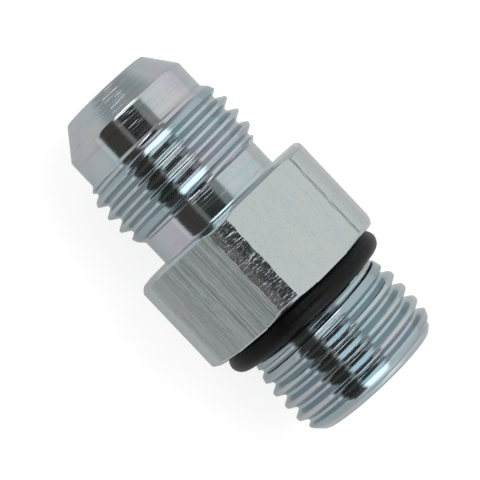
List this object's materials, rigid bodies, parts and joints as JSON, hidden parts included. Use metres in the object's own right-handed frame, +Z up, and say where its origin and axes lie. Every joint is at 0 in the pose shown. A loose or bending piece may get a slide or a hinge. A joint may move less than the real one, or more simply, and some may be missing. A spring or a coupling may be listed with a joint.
{
  "type": "hydraulic adapter fitting",
  "caption": "Straight steel hydraulic adapter with a flare end, a spanner hexagon and an O-ring stud end, bored right through.",
  "frame": {"origin": "on the bore's axis, in the hexagon's face that meets the port", "axes": "+X along the bore towards the stud's tip, +Z up through the top flat of the hexagon as it lies on the opposite flat"},
  "size_m": [0.0329, 0.019, 0.0174],
  "materials": {
    "plated_steel": "pale zinc plate over turned and drawn steel, satin with a faint iridescence",
    "seal_rubber": "smooth black moulded rubber with a soft sheen"
  },
  "bodies": {
    "root": {"fitting_body": "plated_steel", "o_ring": "seal_rubber"}
  },
  "joints": []
}
